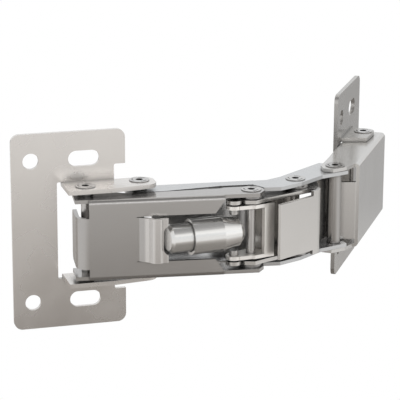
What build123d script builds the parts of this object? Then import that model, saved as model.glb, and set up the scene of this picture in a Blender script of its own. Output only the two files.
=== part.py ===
"""Seven-pivot concealed door hinge, shown fully open: two screw-on plates joined by a sprung,
scissor-type linkage of pressed steel channels.

Millimetres.  +Z runs along the pivot pins.  The origin is on the fixed plate's back face, midway
between its two round screw holes: X runs along that plate's width, towards the door plate, and
+Y points into whatever the plate is screwed to.  Everything is symmetric about the XY plane except the curled stop lip.
"""
import os
from math import cos, radians, sin

from build123d import *

# --- driving dimensions ------------------------------------------------------------------------
# mounting plates
plate_width = 40.0
plate_height = 70.0
plate_sheet = 1.5
plate_corner_radius = 3.0
screw_hole_radius = 2.8
screw_slot_length = 11.0
screw_row = 25.4            # height of the screw holes above and below the middle
screw_hole_x = -13.2        # round holes, from the plate's middle
screw_slot_x = 5.4          # slotted holes, from the plate's middle
ear_top = 17.3              # outer face of the bent-up ears

# the plan position of every pivot with the hinge fully open
front_pivot = (17.5, -8.3)          # fixed plate to front arm
rear_pivot = (37.2, -5.45)          # fixed plate to rear arm
elbow_pivot = (74.2, -16.85)        # front arm to cross link
scissor_pivot = (93.55, -7.2)       # rear arm to cross link
wrist_pivot = (111.4, 1.1)          # rear arm to end link
door_plate_corner = (121.3, 26.4)   # near edge of the door plate's front face
door_plate_angle = 58.0             # between the two plates, fully open
outer_door_pivot = (20.3, 5.7)      # along the door plate from its near edge, and off its face
inner_door_pivot = (3.6, 4.1)       # the same, for the pivot hidden inside the end link

# pressed links, stacked in levels below the ears
link_sheet = 1.3
level_gap = 0.1                     # between flanges that turn past each other
end_link_top = ear_top - plate_sheet - level_gap
arm_top = end_link_top - link_sheet - level_gap
spacer_thickness = 1.2
cross_link_top = arm_top - link_sheet - spacer_thickness - 2 * level_gap
lever_spacing = 0.6                 # lever flange below the cross link's flange
lever_top = cross_link_top - link_sheet - lever_spacing
bend_radius = link_sheet + 0.2      # outside radius of a pressed bend
lug_radius = 4.5                    # rounded flange end around a pivot

# pins
pin_radius = 1.6
pin_clearance = 0.05                # radial, in every hole that turns on a pin
head_radius = 3.5
head_height = 0.3
head_recess_radius = 1.25
head_recess_depth = 1.0
stake_mark_radius = 2.5             # three short arcs left by the riveting tool
wrist_barrel_radius = 2.5
washer_radius = 2.7
open_pivot_slack = 2.35             # extra hole radius at the two pivots that close the loops

# front arm
front_web_gap = (8.5, 6.7)          # web in front of the first and the second pivot
front_window = (27.0, 16.4)         # start of the web's window from the first pivot, and height
front_web_end = 47.0                # where the web stops, from the first pivot
lip_height = (-10.1, 8.0)
lip_radius = 4.4
seat_tongue = (16.6, 26.6)          # start and end of the spring seat's tongue, from the pivot
seat_tongue_height = 15.6

# rear arm
rear_web_gap = (4.4, 1.6)           # web behind the first pivot and behind the scissor pivot
rear_web_end = 41.5

# cross link
cross_front_gap = (9.3, 8.6)        # front panel from the elbow and from the scissor pivot
cross_branch_half = 4.0

# end link
end_link_gap = 0.3                  # flange edge to the door plate's face
end_link_depth = 13.0               # web's outer face from the door plate's face
end_link_reach = 6.4                # past the outer door pivot
end_lip_top = 8.8
end_lip_gap = 0.4                   # lip's lower end to the rear arm's flange

# spring cartridge
spring_pivot = (67.6, -18.3)
spring_seat = (43.4, -20.8)
piston_radius = 5.0
piston_wall = 0.8
slide_clearance = 0.3               # piston inside the sleeve, radial
sleeve_wall = 0.95
sleeve_length = 19.1
sleeve_taper = (8.0, 1.3)           # length of the tapered end, and how much its radius shrinks
sleeve_nose = 2.6                   # past the spring pivot
piston_length = 18.0
sleeve_radius = piston_radius + slide_clearance + sleeve_wall
wire_radius = 0.65
spring_turns = 5

os.makedirs("parts", exist_ok=True)


# --- frames and helpers ------------------------------------------------------------------------
def plate_plane(corner, angle):
    """A plate's frame: x along its width from the near edge, y up, z out of its front face."""
    along = Vector(cos(radians(angle)), sin(radians(angle)), 0)
    front = Vector(sin(radians(angle)), -cos(radians(angle)), 0)
    middle = Vector(*corner) + along * (plate_width / 2) - front * plate_sheet
    return Plane(origin=middle, x_dir=along, z_dir=front)


fixed_frame = plate_plane((-screw_hole_x - plate_width / 2, -plate_sheet), 0)
door_frame = plate_plane(door_plate_corner, door_plate_angle)


def off_plate(frame, x, off):
    """Plan point at x from a plate's middle and `off` in front of its front face."""
    point = frame.from_local_coords((x, 0, plate_sheet + off))
    return (point.X, point.Y)


outer_door = off_plate(door_frame, outer_door_pivot[0] - plate_width / 2, outer_door_pivot[1])
inner_door = off_plate(door_frame, inner_door_pivot[0] - plate_width / 2, inner_door_pivot[1])


def link_frame(start, end):
    """Plan frame with x from start to end and y to the left."""
    return Plane(origin=(*start, 0), x_dir=(end[0] - start[0], end[1] - start[1], 0), z_dir=(0, 0, 1))


def seen_from(frame, point):
    """A plan point in a link's own frame."""
    local = frame.to_local_coords(Vector(*point))
    return (local.X, local.Y)


def prism(frame, points, low, high, mode=Mode.ADD, rounding=0):
    """Upright prism over a plan outline given in a link's frame."""
    with BuildSketch(frame.offset(low), mode=Mode.PRIVATE) as outline:
        with BuildLine():
            Polyline(*points, close=True)
        make_face()
        if rounding:
            fillet(outline.vertices(), rounding)
    return extrude(outline.sketch, amount=high - low, mode=mode)


def disc(centre, radius, low, high, mode=Mode.ADD):
    """Upright cylinder at a plan point."""
    with BuildSketch(Plane.XY.offset(low), mode=Mode.PRIVATE) as outline:
        with Locations(centre):
            Circle(radius)
    return extrude(outline.sketch, amount=high - low, mode=mode)


def through_hole(centre, radius):
    """Hole down a pivot's axis through every flange of the part being built."""
    disc(centre, radius, -plate_height, plate_height, mode=Mode.SUBTRACT)


def edges_at(builder, frame, y, height):
    """The straight edges that lie at y in a link's frame and at plus or minus a height."""
    found = []
    for edge in builder.edges().filter_by(GeomType.LINE):
        middle = frame.to_local_coords(edge @ 0.5)
        if abs(middle.Y - y) < 0.01 and abs(abs(middle.Z) - height) < 0.01 and edge.length > 2:
            if abs(edge.tangent_at(0.5).Z) < 0.01:
                found.append(edge)
    return found


def export(builder, label):
    builder.part.label = label
    export_step(builder.part, f"parts/{label}.step")


# --- mounting plates ---------------------------------------------------------------------------
def plate_blank(frame, hole_x, slot_x):
    """The flat plate with its two round and two slotted screw holes."""
    with BuildSketch(frame, mode=Mode.PRIVATE) as outline:
        RectangleRounded(plate_width, plate_height, plate_corner_radius)
        with Locations((hole_x, screw_row), (hole_x, -screw_row)):
            Circle(screw_hole_radius, mode=Mode.SUBTRACT)
        with Locations((slot_x, screw_row), (slot_x, -screw_row)):
            SlotOverall(screw_slot_length, 2 * screw_hole_radius, mode=Mode.SUBTRACT)
    extrude(outline.sketch, amount=plate_sheet)


def plate_cut(frame, x_from, x_to, half_height, rounding=0.6):
    """Rectangular opening through a plate, between two distances from its middle."""
    with BuildSketch(frame, mode=Mode.PRIVATE) as outline:
        with Locations(((x_from + x_to) / 2, 0)):
            RectangleRounded(x_to - x_from, 2 * half_height, rounding)
    extrude(outline.sketch, amount=plate_sheet, mode=Mode.SUBTRACT)


def ears(frame, outline, top, rounding):
    """A pair of ears bent out of a plate's opening; outline is (x, off the face) points."""
    points = [off_plate(frame, x, off) for x, off in outline]
    for low in (top - plate_sheet, -top):
        prism(Plane.XY, points, low, low + plate_sheet, rounding=rounding)


def round_bends(builder, frame, top):
    """Outside bend radius where the ears leave the plate's back face."""
    back = []
    for edge in builder.edges().filter_by(GeomType.LINE):
        middle = frame.to_local_coords(edge @ 0.5)
        if abs(middle.Z) < 0.01 and abs(abs(middle.Y) - (top - plate_sheet)) < 0.01 and edge.length > 3:
            back.append(edge)
    fillet(back, plate_sheet * 0.8)


window_start = -4.2                 # left side of the fixed plate's window, from its middle
ear_start = -2.6
ear_root_end = 16.0
ear_reach = 12.0                    # off the plate's face
bend_relief = 22.7                  # half height of the notch beside the ear's bend

with BuildPart() as fixed_plate:
    plate_blank(fixed_frame, screw_hole_x, screw_slot_x)
    plate_cut(fixed_frame, window_start, ear_start + 0.6, ear_top + 0.1)
    plate_cut(fixed_frame, ear_start - 0.6, plate_width, ear_top - plate_sheet)
    plate_cut(fixed_frame, ear_root_end, plate_width, bend_relief)
    rear_off = -rear_pivot[1] - plate_sheet
    ear_end = rear_pivot[0] + screw_hole_x + 5.2
    ears(fixed_frame, [(ear_start, -plate_sheet), (ear_root_end, -plate_sheet), (ear_root_end, 0.1),
                       (ear_end, 0.1), (ear_end, rear_off + 5.5), (ear_end - 3.2, ear_reach - 1.6),
                       (13.5, ear_reach + 0.1), (ear_start, ear_reach)], ear_top, 0)
    tips = fixed_plate.edges().filter_by(Axis.Z).filter_by(
        lambda e: abs(e.length - plate_sheet) < 0.01
        and abs(fixed_frame.to_local_coords(e @ 0.5).X - ear_end) < 0.01)
    fillet(tips, 3.6)
    round_bends(fixed_plate, fixed_frame, ear_top)
    for pivot in (front_pivot, rear_pivot):
        through_hole(pivot, pin_radius)

door_ear_start = 7.1 - plate_width / 2
door_ear_end = outer_door_pivot[0] + 4.6 - plate_width / 2
door_ear_reach = outer_door_pivot[1] + 4.2
lug_top = arm_top                   # the inner lugs stand just inside the end link's flanges
lug_reach = inner_door_pivot[1] + 3.4

with BuildPart() as door_plate:
    plate_blank(door_frame, screw_hole_x, screw_slot_x)
    plate_cut(door_frame, door_ear_start - 0.6, door_ear_end + 3.0, ear_top - plate_sheet)
    plate_cut(door_frame, door_ear_end + 0.6, door_ear_end + 3.0, ear_top + 0.1)
    plate_cut(door_frame, -plate_width, door_ear_start, lug_top - plate_sheet)
    ears(door_frame, [(door_ear_start, -plate_sheet), (door_ear_end + 0.6, -plate_sheet),
                      (door_ear_end + 0.6, 0.6), (door_ear_end, 2.0), (door_ear_end, door_ear_reach),
                      (door_ear_start + 3.4, door_ear_reach - 0.8)], ear_top, 0)
    door_tips = door_plate.edges().filter_by(Axis.Z).filter_by(
        lambda e: abs(e.length - plate_sheet) < 0.01
        and abs(door_frame.to_local_coords(e @ 0.5).X - door_ear_end) < 0.01
        and door_frame.to_local_coords(e @ 0.5).Z > 8)
    fillet(door_tips, 3.8)
    lug_start = -plate_width / 2 + 0.4
    lug_end = door_ear_start - 0.4
    ears(door_frame, [(lug_start, -plate_sheet), (lug_end, -plate_sheet), (lug_end, lug_reach - 1.5),
                      (lug_end - 1.5, lug_reach), (lug_start + 1.5, lug_reach),
                      (lug_start, lug_reach - 1.5)], lug_top, 0)
    round_bends(door_plate, door_frame, ear_top)
    round_bends(door_plate, door_frame, lug_top)
    through_hole(outer_door, pin_radius)
    disc(inner_door, pin_radius, -lug_top - 1, lug_top + 1, mode=Mode.SUBTRACT)


# --- front arm ---------------------------------------------------------------------------------
front_frame = link_frame((front_pivot[0], front_pivot[1] - front_web_gap[0]),
                         (elbow_pivot[0], elbow_pivot[1] - front_web_gap[1]))
first = seen_from(front_frame, front_pivot)
elbow = seen_from(front_frame, elbow_pivot)
flange_edge = bend_radius           # flat part of the flange, beyond the end of the web
web_start = first[0] + 0.4
web_end = first[0] + front_web_end
window_from = first[0] + front_window[0]
waist = (first[0] + 19.0, 8.0)      # narrowest part of the flange, beside the rear pivot

with BuildPart() as front_arm:
    prism(front_frame, [(first[0] - 4.3, flange_edge), (web_start, flange_edge), (web_start, 0),
                        (web_end, 0), (web_end, flange_edge), (elbow[0] + 2.2, flange_edge),
                        (elbow[0] + lug_radius, elbow[1] - 1.5), (elbow[0] + lug_radius, elbow[1]),
                        (elbow[0], elbow[1] + lug_radius - 0.3), (elbow[0] - 9.0, elbow[1] + 3.9),
                        (elbow[0] - 10.2, elbow[1] + 3.1), waist, (first[0] + 15.0, waist[1]),
                        (first[0] + 6.5, first[1] + 3.0), (first[0] + 4.0, first[1] + 3.5),
                        (first[0] - 4.3, first[1] + 3.5)], -arm_top, arm_top)
    disc(elbow_pivot, lug_radius, arm_top - link_sheet, arm_top)
    disc(elbow_pivot, lug_radius, -arm_top, -arm_top + link_sheet)
    # hollow between the flanges, behind the web
    prism(front_frame, [(-20, link_sheet), (90, link_sheet), (90, 40), (-20, 40)],
          -arm_top + link_sheet, arm_top - link_sheet, mode=Mode.SUBTRACT)
    fillet(edges_at(front_arm, front_frame, 0, arm_top), bend_radius)
    # window that lets the spring cartridge swell forward, open to the elbow
    prism(front_frame, [(window_from, -1), (web_end + 9, -1), (web_end + 9, 3), (window_from, 3)],
          -front_window[1] / 2, front_window[1] / 2, mode=Mode.SUBTRACT)
    # the web's end is cut back towards the window
    for side in (1, -1):
        with BuildSketch(Plane(origin=front_frame.origin, x_dir=front_frame.x_dir,
                               z_dir=-front_frame.y_dir).offset(-3)):
            with BuildLine():
                Polyline((web_end + 0.1, side * (arm_top - bend_radius)),
                         (web_end - 3.2, side * (front_window[1] / 2 - 0.1)),
                         (web_end + 0.1, side * (front_window[1] / 2 - 0.1)), close=True)
            make_face()
        extrude(amount=6, mode=Mode.SUBTRACT)
    # curled stop lip: the middle of the web bends back past the first pivot
    with BuildSketch(front_frame.offset(lip_height[0])) as lip:
        with BuildLine():
            outer = web_start - lip_radius
            inner_radius = lip_radius - link_sheet
            lip_end = first[1] + 6.6
            Line((web_start + 0.2, 0), (web_start, 0))
            RadiusArc((web_start, 0), (outer, lip_radius), lip_radius)
            Line((outer, lip_radius), (outer, lip_end))
            Line((outer, lip_end), (outer + link_sheet, lip_end))
            Line((outer + link_sheet, lip_end), (outer + link_sheet, lip_radius))
            RadiusArc((outer + link_sheet, lip_radius), (web_start, link_sheet), -inner_radius)
            Line((web_start, link_sheet), (web_start + 0.2, link_sheet))
            Line((web_start + 0.2, link_sheet), (web_start + 0.2, 0))
        make_face()
    extrude(amount=lip_height[1] - lip_height[0])
    lip_corners = front_arm.edges().filter_by(
        lambda e: abs(front_frame.to_local_coords(e @ 0.5).Y - lip_end) < 0.01
        and abs(e.length - link_sheet) < 0.01 and abs(e.tangent_at(0.5).Z) < 0.01)
    fillet(lip_corners, 2.5)
    # lanced tongue that seats the spring's piston, forked around it
    tongue_from = first[0] + seat_tongue[0]
    tongue_to = first[0] + seat_tongue[1]
    prism(front_frame, [(tongue_from, -1), (tongue_to + 1, -1), (tongue_to + 1, 3), (tongue_from, 3)],
          -seat_tongue_height / 2 - 0.25, seat_tongue_height / 2 + 0.25, mode=Mode.SUBTRACT)
    with BuildSketch(front_frame.offset(-seat_tongue_height / 2)) as tongue:
        with BuildLine():
            FilletPolyline((tongue_from - 0.2, link_sheet / 2), (tongue_from + 1.0, link_sheet / 2),
                           (tongue_from + 4.4, -1.3), (tongue_from + 5.8, -3.1),
                           (tongue_from + 7.6, -3.1), (tongue_from + 8.4, -2.3),
                           (tongue_to, -2.3), radius=link_sheet / 2 + 0.1)
            offset(amount=link_sheet / 2)
        make_face()
    extrude(amount=seat_tongue_height)
    with BuildSketch(Plane(origin=front_frame.origin, x_dir=front_frame.x_dir,
                           z_dir=-front_frame.y_dir).offset(-3)):
        with Locations((tongue_to + 4.0, 0)):
            RectangleRounded(10.4, 2 * (piston_radius + 0.3), 2.6)
    extrude(amount=12, mode=Mode.SUBTRACT)
    through_hole(front_pivot, pin_radius + pin_clearance)
    through_hole(elbow_pivot, pin_radius)


# --- rear arm ----------------------------------------------------------------------------------
rear_frame = link_frame((rear_pivot[0], rear_pivot[1] + rear_web_gap[0]),
                        (scissor_pivot[0], scissor_pivot[1] + rear_web_gap[1]))
pivot_r = seen_from(rear_frame, rear_pivot)
scissor_r = seen_from(rear_frame, scissor_pivot)
wrist_r = seen_from(rear_frame, wrist_pivot)

with BuildPart() as rear_arm:
    prism(rear_frame, [(pivot_r[0] - 5.0, -bend_radius), (pivot_r[0] + 5.0, -bend_radius),
                       (pivot_r[0] + 5.0, 0), (rear_web_end, 0), (rear_web_end, -bend_radius),
                       (scissor_r[0] - 10.5, -bend_radius), (scissor_r[0] - 5.0, 1.6),
                       (wrist_r[0] - 3.4, wrist_r[1] + 9.7), (wrist_r[0] + 2.7, wrist_r[1] + 4.7),
                       (wrist_r[0] + 4.2, wrist_r[1] - 2.6), (wrist_r[0] - 6.5, wrist_r[1] - 7.0),
                       (scissor_r[0] + 1.0, scissor_r[1] - 5.3), (scissor_r[0] - 7.5, scissor_r[1] - 9.9),
                       (scissor_r[0] - 13.5, scissor_r[1] - 9.6), (scissor_r[0] - 14.6, scissor_r[1] - 7.6),
                       (scissor_r[0] - 16.5, scissor_r[1] - 4.9), (scissor_r[0] - 28.0, scissor_r[1] - 4.6),
                       (pivot_r[0] + 8.0, pivot_r[1] - 4.9), (pivot_r[0] - 3.0, pivot_r[1] - 4.9),
                       (pivot_r[0] - 5.0, pivot_r[1] - 2.6)], -arm_top, arm_top)
    prism(rear_frame, [(-20, -link_sheet), (90, -link_sheet), (90, -40), (-20, -40)],
          -arm_top + link_sheet, arm_top - link_sheet, mode=Mode.SUBTRACT)
    prism(rear_frame, [(rear_web_end, -5), (90, -5), (90, 40), (rear_web_end, 40)],
          -arm_top + link_sheet, arm_top - link_sheet, mode=Mode.SUBTRACT)
    fillet(edges_at(rear_arm, rear_frame, 0, arm_top), bend_radius)
    through_hole(rear_pivot, pin_radius + pin_clearance)
    through_hole(scissor_pivot, pin_radius)
    through_hole(wrist_pivot, pin_radius + pin_clearance)


# --- cross link --------------------------------------------------------------------------------
cross_frame = link_frame(elbow_pivot, scissor_pivot)
branch_frame = link_frame(scissor_pivot, inner_door)
elbow_c = seen_from(cross_frame, elbow_pivot)
scissor_c = seen_from(cross_frame, scissor_pivot)
branch_length = seen_from(branch_frame, inner_door)[0]
spring_c = seen_from(cross_frame, spring_pivot)
flange_low = cross_link_top - link_sheet
panel_start = 5.0                   # front panel from the elbow
panel_end = scissor_c[0] + 3.2


def cross_flanges(outline_frame, points, mode=Mode.ADD):
    for low in (flange_low, -cross_link_top):
        prism(outline_frame, points, low, low + link_sheet, mode=mode)


with BuildPart() as cross_link:
    cross_flanges(cross_frame, [(-4.6, -2.0), (-2.0, -4.6), (3.4, -4.6), (panel_end - 3.0, -6.3),
                                (panel_end, -7.3), (panel_end + 5.0, -1.5), (scissor_c[0], 5.2),
                                (4.0, 4.6), (-1.0, 4.4), (-4.4, 1.5)])
    for low in (flange_low, -cross_link_top):
        disc(elbow_pivot, lug_radius, low, low + link_sheet)
        disc(spring_pivot, 2.8, low, low + link_sheet)
        disc(scissor_pivot, 5.3, low, low + link_sheet)
    cross_flanges(branch_frame, [(0, -cross_branch_half), (branch_length, -cross_branch_half),
                                 (branch_length, cross_branch_half), (0, cross_branch_half + 0.6)])
    for low in (flange_low, -cross_link_top):
        disc(inner_door, cross_branch_half, low, low + link_sheet)
    # front panel, its corner and the side wall that follows the branch
    wall_end = branch_length - 9.0
    start = cross_frame.from_local_coords((panel_start, -cross_front_gap[0], 0))
    turn = cross_frame.from_local_coords((panel_end, -cross_front_gap[1], 0))
    join = branch_frame.from_local_coords((9.0, -cross_branch_half + link_sheet / 2, 0))
    end = branch_frame.from_local_coords((wall_end, -cross_branch_half + link_sheet / 2, 0))
    with BuildSketch(Plane.XY.offset(-cross_link_top)):
        with BuildLine():
            FilletPolyline(start, turn, join, end, radius=2.2)
            offset(amount=link_sheet / 2)
        make_face()
    extrude(amount=2 * cross_link_top)
    # rear wall beside the elbow
    with BuildSketch(Plane.XY.offset(-flange_low)):
        with BuildLine():
            FilletPolyline(cross_frame.from_local_coords((5.0, 3.9, 0)),
                           cross_frame.from_local_coords((scissor_c[0] - 2.0, 4.5, 0)),
                           branch_frame.from_local_coords((5.5, cross_branch_half - 0.2, 0)), radius=4)
            offset(amount=link_sheet / 2)
        make_face()
    extrude(amount=2 * flange_low)
    # relief between the flanges and the front panel
    for low, high in ((flange_low - 0.4, cross_link_top + 1), (-cross_link_top - 1, -flange_low + 0.4)):
        prism(cross_frame, [(0, -6.6), (panel_end - 3.4, -6.6), (panel_end - 3.4, -20), (0, -20)],
              low, high, mode=Mode.SUBTRACT)
    through_hole(elbow_pivot, pin_radius + pin_clearance)
    through_hole(spring_pivot, pin_radius)
    through_hole(scissor_pivot, pin_radius + open_pivot_slack)
    through_hole(inner_door, pin_radius + open_pivot_slack - 0.6)


# --- end link ----------------------------------------------------------------------------------
end_frame = link_frame(off_plate(door_frame, -plate_width / 2, end_link_depth),
                       off_plate(door_frame, plate_width / 2, end_link_depth))
wrist_e = seen_from(end_frame, wrist_pivot)
outer_e = seen_from(end_frame, outer_door)
flange_width = end_link_depth - end_link_gap
end_near = wrist_e[0] + 5.0
end_far = outer_e[0] + end_link_reach
end_lip_low = -(arm_top - link_sheet - end_lip_gap)

with BuildPart() as end_link:
    prism(end_frame, [(end_near, 0), (end_far, 0), (end_far, flange_width - 5.5),
                      (end_far - 5.5, flange_width), (wrist_e[0] + 7.0, flange_width),
                      (wrist_e[0] - 1.5, wrist_e[1] + 5.0), (wrist_e[0] - 5.0, wrist_e[1] + 3.2),
                      (wrist_e[0] - 5.4, wrist_e[1] - 0.5), (wrist_e[0] - 0.6, wrist_e[1] - 4.4),
                      (end_near - 0.2, bend_radius + 0.2)], -end_link_top, end_link_top)
    prism(end_frame, [(-90, link_sheet), (90, link_sheet), (90, 40), (-90, 40)],
          -end_link_top + link_sheet, end_link_top - link_sheet, mode=Mode.SUBTRACT)
    fillet(edges_at(end_link, end_frame, 0, end_link_top), bend_radius)
    # inward lip that closes the near end between the flanges
    with BuildSketch(end_frame.offset(end_lip_low)):
        with BuildLine():
            FilletPolyline((end_near + 5.0, link_sheet / 2), (end_near + link_sheet / 2, link_sheet / 2),
                           (end_near - 1.4, 6.5), radius=1.5)
            offset(amount=link_sheet / 2)
        make_face()
    extrude(amount=end_lip_top - end_lip_low)
    through_hole(wrist_pivot, pin_radius)
    through_hole(outer_door, pin_radius + pin_clearance)


# --- spring lever ------------------------------------------------------------------------------
lever_low = lever_top - link_sheet
with BuildPart() as spring_lever:
    for low in (lever_low, -lever_top):
        prism(cross_frame, [(-3.9, -1.4), (-1.4, -3.9), (6.2, -5.2), (6.2, -1.0), (1.6, 3.9), (-1.6, 3.9),
                            (-3.9, 1.6)], low, low + link_sheet)
        disc(spring_pivot, 2.8, low, low + link_sheet)
        prism(cross_frame, [(spring_c[0], spring_c[1] - 3.0), (0, -3.9), (0, 3.9),
                            (spring_c[0], spring_c[1] + 3.0)], low, low + link_sheet)
    prism(cross_frame, [(2.4, -3.2 - link_sheet), (6.2, -4.1 - link_sheet), (6.2, -4.1), (2.4, -3.2)],
          -lever_top, lever_top)
    through_hole(elbow_pivot, pin_radius + pin_clearance)
    through_hole(spring_pivot, pin_radius)


# --- pivot pins --------------------------------------------------------------------------------
def rivet(centre, seat, barrel=None):
    """Pin across a pair of flanges whose outer faces are at plus and minus `seat`, headed outside."""
    disc(centre, pin_radius, -seat, seat)
    for side in (1, -1):
        low, high = sorted((side * seat, side * (seat + head_height)))
        disc(centre, head_radius, low, high)
        inner, outer = sorted((side * (seat + head_height - head_recess_depth), side * (seat + 1)))
        disc(centre, head_recess_radius, inner, outer, mode=Mode.SUBTRACT)
        # marks left in the head by the riveting tool
        mark = min(side * (seat + head_height / 2), side * (seat + 1))
        with BuildSketch(Plane.XY.offset(mark), mode=Mode.PRIVATE) as marks:
            with Locations(centre):
                with PolarLocations(0, 3, start_angle=30):
                    SlotArc(CenterArc((0, 0), stake_mark_radius, 0, 50), 0.4)
        extrude(marks.sketch, amount=1 - head_height / 2, mode=Mode.SUBTRACT)
    if barrel:
        radius, half_length = barrel
        disc(centre, radius, -half_length, half_length)


pins = {
    "front_pin": (front_pivot, ear_top, None),
    "rear_pin": (rear_pivot, ear_top, None),
    "elbow_pin": (elbow_pivot, arm_top, None),
    "scissor_pin": (scissor_pivot, arm_top, None),
    "wrist_pin": (wrist_pivot, end_link_top, (wrist_barrel_radius, arm_top - link_sheet - level_gap)),
    "outer_door_pin": (outer_door, ear_top, None),
}
for name, (centre, seat, barrel) in pins.items():
    with BuildPart() as pin:
        rivet(centre, seat, barrel)
    export(pin, name)

with BuildPart() as inner_door_pin:
    disc(inner_door, pin_radius, -lug_top, lug_top)

with BuildPart() as spring_stubs:
    stub_end = sleeve_radius + 0.25
    for side in (1, -1):
        low, high = sorted((side * stub_end, side * cross_link_top))
        disc(spring_pivot, pin_radius, low, high)
        low, high = sorted((side * (cross_link_top - head_recess_depth), side * cross_link_top))
        disc(spring_pivot, head_recess_radius, low, high, mode=Mode.SUBTRACT)


# --- washers -----------------------------------------------------------------------------------
def washer_pair(centre, radius, low, high):
    """Two washers on one pivot, above and below, between the given heights."""
    for bottom in (low, -high):
        disc(centre, radius, bottom, bottom + high - low)
    through_hole(centre, pin_radius + pin_clearance)


arm_low = arm_top - link_sheet
washers = {
    "front_washers": (front_pivot, washer_radius, arm_top + level_gap, ear_top - plate_sheet),
    "rear_washers": (rear_pivot, washer_radius, arm_top + level_gap, ear_top - plate_sheet),
    "elbow_washers": (elbow_pivot, lug_radius - 0.6, cross_link_top + level_gap, arm_low),
    "scissor_washers": (scissor_pivot, 4.6, cross_link_top + level_gap, arm_low),
    "inner_door_washers": (inner_door, cross_branch_half + 0.2, cross_link_top + level_gap,
                           lug_top - plate_sheet),
}
for name, (centre, radius, low, high) in washers.items():
    with BuildPart() as washer:
        washer_pair(centre, radius, low, high)
    export(washer, name)


# --- spring cartridge --------------------------------------------------------------------------
push = (Vector(*spring_pivot) - Vector(*spring_seat)).normalized()
nose = Vector(*spring_pivot) + push * sleeve_nose
sleeve_mouth = nose - push * sleeve_length
tip = Vector(*spring_seat) - push * 0.2

with BuildPart() as spring_sleeve:
    straight = sleeve_length - sleeve_taper[0]
    small = sleeve_radius - sleeve_taper[1]
    bore = sleeve_radius - sleeve_wall
    with BuildSketch(Plane(origin=sleeve_mouth, x_dir=push, z_dir=(0, 0, 1))):
        with BuildLine():
            Polyline((0, bore), (0, sleeve_radius), (straight, sleeve_radius), (sleeve_length - 1.4, small),
                     (sleeve_length, small - 1.4), (sleeve_length, 0), (sleeve_length - 1.6, 0),
                     (sleeve_length - 1.6, small - sleeve_wall), (straight, bore), close=True)
        make_face()
    revolve(axis=Axis(sleeve_mouth, push))
    fillet(spring_sleeve.edges().filter_by(GeomType.CIRCLE).sort_by_distance(nose + push * 5)[0:1], 1.0)

with BuildPart() as spring_piston:
    with BuildSketch(Plane(origin=tip, z_dir=push)):
        Circle(piston_radius)
    extrude(amount=piston_length)
    chamfer(spring_piston.edges().filter_by(GeomType.CIRCLE).sort_by_distance(tip)[0], 1.0)
    with BuildSketch(Plane(origin=tip + push * 2.0, z_dir=push)):
        Circle(piston_radius - piston_wall)
    extrude(amount=piston_length, mode=Mode.SUBTRACT)

spring_radius = piston_radius - piston_wall - wire_radius - 0.3
spring_from = tip + push * (2.0 + wire_radius + 0.2)
spring_span = (nose - push * (1.6 + wire_radius + 0.2) - spring_from).length
with BuildPart() as coil_spring:
    with BuildLine() as coil:
        Helix(pitch=spring_span / spring_turns, height=spring_span, radius=spring_radius,
              center=spring_from, direction=push)
    with BuildSketch(Plane(origin=coil.line @ 0, z_dir=coil.line % 0)):
        RegularPolygon(wire_radius, 8)
    sweep()


# --- files -------------------------------------------------------------------------------------
assemblies = {
    "fixed_plate": fixed_plate,
    "door_plate": door_plate,
    "front_arm": front_arm,
    "rear_arm": rear_arm,
    "cross_link": cross_link,
    "end_link": end_link,
    "spring_lever": spring_lever,
    "inner_door_pin": inner_door_pin,
    "spring_stubs": spring_stubs,
    "spring_sleeve": spring_sleeve,
    "spring_piston": spring_piston,
    "coil_spring": coil_spring,
}
for name, builder in assemblies.items():
    export(builder, name)
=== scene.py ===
import math

import bpy
from mathutils import Matrix, Vector

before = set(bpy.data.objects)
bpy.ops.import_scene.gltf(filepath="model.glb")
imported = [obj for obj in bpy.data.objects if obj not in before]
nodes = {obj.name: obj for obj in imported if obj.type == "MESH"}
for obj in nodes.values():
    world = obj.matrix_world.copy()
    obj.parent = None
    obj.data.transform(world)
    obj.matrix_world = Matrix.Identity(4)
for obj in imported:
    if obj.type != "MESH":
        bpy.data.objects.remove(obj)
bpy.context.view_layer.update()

# a Mix node's sockets when it mixes colours
MIX_A, MIX_B, MIX_OUT = 6, 7, 2


# ---- node helpers ---------------------------------------------------------------------------
def noise(tree, vector, scale, detail):
    node = tree.nodes.new("ShaderNodeTexNoise")
    node.inputs["Scale"].default_value = scale
    node.inputs["Detail"].default_value = detail
    tree.links.new(vector, node.inputs["Vector"])
    return node.outputs["Fac"]


def spread(tree, value, low, high, start=0.0, end=1.0):
    """Carries low..high over to start..end, and holds the ends."""
    node = tree.nodes.new("ShaderNodeMapRange")
    node.inputs["From Min"].default_value = low
    node.inputs["From Max"].default_value = high
    node.inputs["To Min"].default_value = start
    node.inputs["To Max"].default_value = end
    tree.links.new(value, node.inputs["Value"])
    return node.outputs["Result"]


def along(tree, vector, direction):
    """How far a point lies along a direction."""
    node = tree.nodes.new("ShaderNodeVectorMath")
    node.operation = "DOT_PRODUCT"
    node.inputs[1].default_value = direction
    tree.links.new(vector, node.inputs[0])
    return node.outputs["Value"]


def multiplied(tree, colour, by):
    node = tree.nodes.new("ShaderNodeMix")
    node.data_type = "RGBA"
    node.blend_type = "MULTIPLY"
    node.inputs["Factor"].default_value = 1.0
    tree.links.new(colour, node.inputs[MIX_A])
    tree.links.new(by, node.inputs[MIX_B])
    return node.outputs[MIX_OUT]


def steps(tree, value, stops):
    """A ramp through (position, shade) stops; a shade is a grey or a colour."""
    ramp = tree.nodes.new("ShaderNodeValToRGB")
    marks = ramp.color_ramp.elements
    while len(marks) < len(stops):
        marks.new(0.5)
    for mark, (at, shade) in zip(marks, stops):
        mark.position = at
        mark.color = (*shade, 1) if isinstance(shade, tuple) else (shade, shade, shade, 1)
    tree.links.new(value, ramp.inputs["Fac"])
    return ramp.outputs["Color"]


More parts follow.
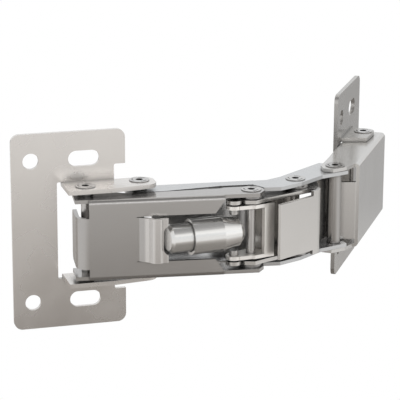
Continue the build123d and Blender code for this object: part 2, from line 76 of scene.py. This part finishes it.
def seen_straight(tree):
    """Two factors: 1 for camera, glossy and transmission rays, and 1 for camera rays alone."""
    path = tree.nodes.new("ShaderNodeLightPath")
    total = path.outputs["Is Camera Ray"]
    for kind in ("Is Glossy Ray", "Is Transmission Ray"):
        add = tree.nodes.new("ShaderNodeMath")
        add.operation = "ADD"
        add.use_clamp = True
        tree.links.new(total, add.inputs[0])
        tree.links.new(path.outputs[kind], add.inputs[1])
        total = add.outputs["Value"]
    return total, path.outputs["Is Camera Ray"]


def or_white(tree, colour, camera):
    """The camera sees plain white; reflections see the colour given."""
    pick = tree.nodes.new("ShaderNodeMix")
    pick.data_type = "RGBA"
    tree.links.new(camera, pick.inputs["Factor"])
    tree.links.new(colour, pick.inputs[MIX_A])
    pick.inputs[MIX_B].default_value = (1, 1, 1, 1)
    return pick.outputs[MIX_OUT]


def either(tree, factor, first, second):
    pick = tree.nodes.new("ShaderNodeMixShader")
    tree.links.new(factor, pick.inputs["Fac"])
    tree.links.new(first, pick.inputs[1])
    tree.links.new(second, pick.inputs[2])
    return pick.outputs["Shader"]


# ---- materials ------------------------------------------------------------------------------
# noise scales along X, Y and Z: the brushing is packed tightly along Z or across it on the pressed
# pieces, less so on the turned pins, and evenly on the cartridge and its spring
ALONG_Z = (40.0, 40.0, 900.0)
ACROSS_Z = (900.0, 40.0, 40.0)
TURNED = (60.0, 60.0, 200.0)
EVEN = (80.0, 80.0, 80.0)

METALLIC = 0.85
TINT = 0.03                 # the base colour varies by this much, up and down
BRUSH_SCALE, BRUSH_DETAIL, BRUSH_DEPTH = 12.0, 4.0, 0.00005
CLOUD_SCALE, CLOUD_DETAIL = 60.0, 3.0
CLOUD_RANGE = (0.3, 0.7)    # the values of the cloud noise between which the roughness moves
# painted shade in the crevices, found by ambient occlusion
PAINTED_SHADE_SAMPLES = 16
PAINTED_SHADE_RANGE = (0.15, 0.85)   # how open a place is, from full painted shade to none
PAINTED_RISE_BELOW, PAINTED_RISE_ABOVE = 0.0001, 0.0003     # the painted lightening sets in over this height, in metres


def metal(name, colour, rough, vary=0.06, grain=ALONG_Z, grain_strength=0.05, painted_light_above=None,
          painted_shade_darkest=0.25, painted_shade_reach=0.0025):
    """Plated steel. Base colour, roughness and bump all vary a little, and crevices get painted shade.

    A (normal, level, gain) triple paints light: what stands above the level along the normal has its base
    colour lighter by the gain.
    """
    material = bpy.data.materials.new(name)
    material.use_nodes = True
    tree = material.node_tree
    new, link = tree.nodes.new, tree.links.new
    bsdf = tree.nodes["Principled BSDF"]
    bsdf.inputs["Metallic"].default_value = METALLIC
    place = new("ShaderNodeTexCoord").outputs["Object"]

    # brushing, in the colour and in the bump
    mapping = new("ShaderNodeMapping")
    mapping.inputs["Scale"].default_value = grain
    link(place, mapping.inputs["Vector"])
    streak = noise(tree, mapping.outputs["Vector"], BRUSH_SCALE, BRUSH_DETAIL)
    mix = new("ShaderNodeMix")
    mix.data_type = "RGBA"
    mix.inputs[MIX_A].default_value = (*[c * (1 - TINT) for c in colour], 1)
    mix.inputs[MIX_B].default_value = (*[min(1.0, c * (1 + TINT)) for c in colour], 1)
    link(streak, mix.inputs["Factor"])
    bump = new("ShaderNodeBump")
    bump.inputs["Strength"].default_value = grain_strength
    bump.inputs["Distance"].default_value = BRUSH_DEPTH
    link(streak, bump.inputs["Height"])
    link(bump.outputs["Normal"], bsdf.inputs["Normal"])

    cloud = noise(tree, place, CLOUD_SCALE, CLOUD_DETAIL)
    link(spread(tree, cloud, *CLOUD_RANGE, rough - vary, rough + vary), bsdf.inputs["Roughness"])

    tone = mix.outputs[MIX_OUT]
    # painted highlight: what stands above the level gets a lighter base colour
    if painted_light_above:
        normal, level, painted_gain = painted_light_above
        painted_rise = spread(tree, along(tree, place, normal), level - PAINTED_RISE_BELOW, level + PAINTED_RISE_ABOVE, 1.0, painted_gain)
        lift = new("ShaderNodeVectorMath")
        lift.operation = "SCALE"
        link(tone, lift.inputs[0])
        link(painted_rise, lift.inputs["Scale"])
        tone = lift.outputs["Vector"]

    # painted shade: the base colour is darkened in the crevices, round the pin heads and in lapped sheets
    painted_shade_ao = new("ShaderNodeAmbientOcclusion")
    painted_shade_ao.samples = PAINTED_SHADE_SAMPLES
    painted_shade_ao.inputs["Distance"].default_value = painted_shade_reach
    painted_shade_depth = spread(tree, painted_shade_ao.outputs["AO"], *PAINTED_SHADE_RANGE, painted_shade_darkest, 1.0)
    link(multiplied(tree, tone, painted_shade_depth), bsdf.inputs["Base Color"])
    return material


# the way the front arm's web faces, how far out its pressed tongue begins, and how much lighter its
# painted highlight makes it
WEB_NORMAL, TONGUE_LEVEL, TONGUE_PAINTED_GAIN = (-0.1491, -0.9888, 0.0), 0.01440, 1.42

# the base colours differ by piece partly by each piece's own tone and partly as painted light and shade,
# set lighter or darker to stand in for how the light falls on each piece
plate = metal("plate_metal", (0.73, 0.700, 0.670), 0.26, grain=ACROSS_Z, painted_shade_reach=0.006)
door = metal("door_plate_metal", (0.49, 0.475, 0.455), 0.30, grain=ACROSS_Z)
front = metal("front_arm_metal", (0.43, 0.415, 0.40), 0.21, vary=0.04,
              painted_light_above=(WEB_NORMAL, TONGUE_LEVEL, TONGUE_PAINTED_GAIN))
rear = metal("rear_arm_metal", (0.55, 0.55, 0.55), 0.21, vary=0.04)
panel = metal("panel_metal", (0.60, 0.58, 0.555), 0.20, vary=0.04, painted_shade_reach=0.005)
lever = metal("lever_metal", (0.92, 0.89, 0.85), 0.30)
end = metal("end_link_metal", (0.585, 0.57, 0.55), 0.22, vary=0.04, painted_shade_reach=0.003)
pin = metal("pin_metal", (0.52, 0.505, 0.49), 0.20, grain=TURNED, painted_shade_darkest=0.04)
barrel = metal("barrel_metal", (0.40, 0.385, 0.37), 0.16, grain=TURNED, painted_shade_darkest=0.04,
               painted_shade_reach=0.004)
polished = metal("polished_metal", (0.74, 0.73, 0.71), 0.12, vary=0.03, grain=EVEN,
                 grain_strength=0.03)
wire = metal("wire_metal", (0.20, 0.20, 0.20), 0.35, grain=EVEN)

# every piece that isn't named here has the pins' finish
finishes = {
    "fixed_plate": plate, "door_plate": door, "front_arm": front, "rear_arm": rear,
    "cross_link": panel, "end_link": end, "spring_lever": lever, "spring_sleeve": polished,
    "spring_piston": polished, "coil_spring": wire, "wrist_pin": barrel,
}
for name, node in nodes.items():
    node.data.materials.clear()
    node.data.materials.append(finishes.get(name, pin))

# ---- floor ----------------------------------------------------------------------------------
FLOOR_HALF, FLOOR_Z = 6, -0.09
PAPER, PAPER_ROUGH = (0.80, 0.79, 0.78, 1), 0.9
# the painted shade that reflections see goes by metres from the origin, once a place is stretched and
# then moved like this
PAINTED_SHADE_STRETCH, PAINTED_SHADE_OFFSET = (1.9, 1.0, 0.0), (-0.09, 0.0, 0.0)
PAINTED_SHADE_BY_DISTANCE = [
    (0.0, (0.16, 0.145, 0.13)), (0.16, (0.24, 0.22, 0.20)), (0.26, (0.46, 0.435, 0.41)),
    (0.38, (0.75, 0.73, 0.71)), (0.52, 1.0),
]
BEHIND_RIGHT = (0.7071, 0.7071, 0.0)
PAINTED_SHADE_BEHIND_RIGHT = [(0.16, 1.0), (0.40, 0.52)]

floor_mesh = bpy.data.meshes.new("floor")
corners = [(x * FLOOR_HALF, y * FLOOR_HALF, FLOOR_Z) for x, y in ((-1, -1), (1, -1), (1, 1), (-1, 1))]
floor_mesh.from_pydata(corners, [], [(0, 1, 2, 3)])
floor = bpy.data.objects.new("floor", floor_mesh)
bpy.context.scene.collection.objects.link(floor)

# lamps and bounced light meet matt paper; the camera sees it plain white; reflections see it white far
# off and with painted shade, painted into the paper's glow, near the object and behind its right-hand end
white = bpy.data.materials.new("floor_white")
white.use_nodes = True
tree = white.node_tree
paper = tree.nodes["Principled BSDF"]
paper.inputs["Base Color"].default_value = PAPER
paper.inputs["Roughness"].default_value = PAPER_ROUGH
place = tree.nodes.new("ShaderNodeNewGeometry")
offset = tree.nodes.new("ShaderNodeVectorMath")
offset.operation = "MULTIPLY_ADD"
offset.inputs[1].default_value = PAINTED_SHADE_STRETCH
offset.inputs[2].default_value = PAINTED_SHADE_OFFSET
tree.links.new(place.outputs["Position"], offset.inputs[0])
apart = tree.nodes.new("ShaderNodeVectorMath")
apart.operation = "LENGTH"
tree.links.new(offset.outputs["Vector"], apart.inputs[0])
# painted shade for reflections: darker near the object and behind its right-hand end
aside = along(tree, place.outputs["Position"], BEHIND_RIGHT)
shade = multiplied(tree, steps(tree, apart.outputs["Value"], PAINTED_SHADE_BY_DISTANCE),
                   steps(tree, aside, PAINTED_SHADE_BEHIND_RIGHT))
straight, camera_ray = seen_straight(tree)
glow = tree.nodes.new("ShaderNodeEmission")
tree.links.new(or_white(tree, shade, camera_ray), glow.inputs["Color"])
above = either(tree, straight, paper.outputs["BSDF"], glow.outputs["Emission"])
# from below the paper is clear, so the underside of the object can be looked at
clear = tree.nodes.new("ShaderNodeBsdfTransparent")
surface = either(tree, place.outputs["Backfacing"], above, clear.outputs["BSDF"])
tree.links.new(surface, tree.nodes["Material Output"].inputs["Surface"])
floor_mesh.materials.append(white)

# ---- world ----------------------------------------------------------------------------------
# what lights the object, and what it reflects: 0 is straight down, 0.5 the horizon, 1 straight up
SKY_LIGHT = [(0.0, 0.45), (0.5, 0.80), (1.0, 1.0)]
SKY_REFLECTED = [
    (0.0, 0.40), (0.48, 0.90), (0.52, 1.0), (0.62, (0.95, 0.975, 1.0)), (0.76, 0.94),
    (0.85, 0.62), (0.93, 0.34), (1.0, 0.24),
]

world = bpy.data.worlds.new("studio")
bpy.context.scene.world = world
world.use_nodes = True
tree = world.node_tree
split = tree.nodes.new("ShaderNodeSeparateXYZ")
tree.links.new(tree.nodes.new("ShaderNodeTexCoord").outputs["Generated"], split.inputs["Vector"])
height = spread(tree, split.outputs["Z"], -1.0, 1.0)
light = tree.nodes["Background"]
tree.links.new(steps(tree, height, SKY_LIGHT), light.inputs["Color"])
straight, camera_ray = seen_straight(tree)
seen = tree.nodes.new("ShaderNodeBackground")
tree.links.new(or_white(tree, steps(tree, height, SKY_REFLECTED), camera_ray), seen.inputs["Color"])
surface = either(tree, straight, light.outputs["Background"], seen.outputs["Background"])
tree.links.new(surface, tree.nodes["World Output"].inputs["Surface"])


# ---- lamps ----------------------------------------------------------------------------------
def softbox(name, place, at, size, power):
    """A rectangular lamp that faces the point `at`; metres and watts."""
    data = bpy.data.lights.new(name, "AREA")
    data.shape = "RECTANGLE"
    data.size, data.size_y = size
    data.energy = power
    lamp = bpy.data.objects.new(name, data)
    lamp.location = place
    lamp.rotation_euler = (Vector(at) - Vector(place)).to_track_quat("-Z", "Y").to_euler()
    bpy.context.scene.collection.objects.link(lamp)


centre = (0.06, 0.0, 0.0)
softbox("key", (0.05, -1.0, 0.36), centre, (0.55, 0.12), 0.45)
softbox("top", (0.05, 0.35, 0.7), centre, (0.9, 0.5), 0.8)
softbox("fill", (0.75, -0.45, 0.30), centre, (0.9, 0.8), 0.6)

# ---- camera ---------------------------------------------------------------------------------
# Fitted to the plates' and arms' edges in the photograph, in a frame of its own: the fixed plate was
# turned about Z there, and its left edge and front face met at `aim`, `lift` up.
SENSOR, PHOTO_WIDTH = 36.0, 400.0
focal_px, distance = 1927.3, 0.70574
tilt, roll, turn = math.radians(15.941), math.radians(0.246), math.radians(16.009)
aim, lift = (-0.0644117, -0.0447545), 0.00016
# from that corner to the row's origin, on the hole line and the back face
corner_to_origin = (0.0068, 0.0015)

forward = Vector((0, math.cos(tilt), -math.sin(tilt)))
right = Vector((1, 0, 0))
up = right.cross(forward)
rolled_right = right * math.cos(roll) + up * math.sin(roll)
rolled_up = up * math.cos(roll) - right * math.sin(roll)
spin = Matrix.Rotation(-turn, 3, "Z")
eye = -forward * distance
eye = spin @ Vector((eye[0] - aim[0], eye[1] - aim[1], eye[2] - lift)) - Vector((*corner_to_origin, 0))

camera_data = bpy.data.cameras.new("camera")
camera_data.sensor_width = SENSOR
camera_data.lens = SENSOR * focal_px / PHOTO_WIDTH
camera_data.clip_start = 0.01
camera = bpy.data.objects.new("camera", camera_data)
axes = Matrix((spin @ rolled_right, spin @ rolled_up, spin @ -forward)).transposed()
camera.matrix_world = Matrix.Translation(eye) @ axes.to_4x4()
bpy.context.scene.collection.objects.link(camera)
bpy.context.scene.camera = camera

bpy.context.scene.view_settings.view_transform = "Standard"
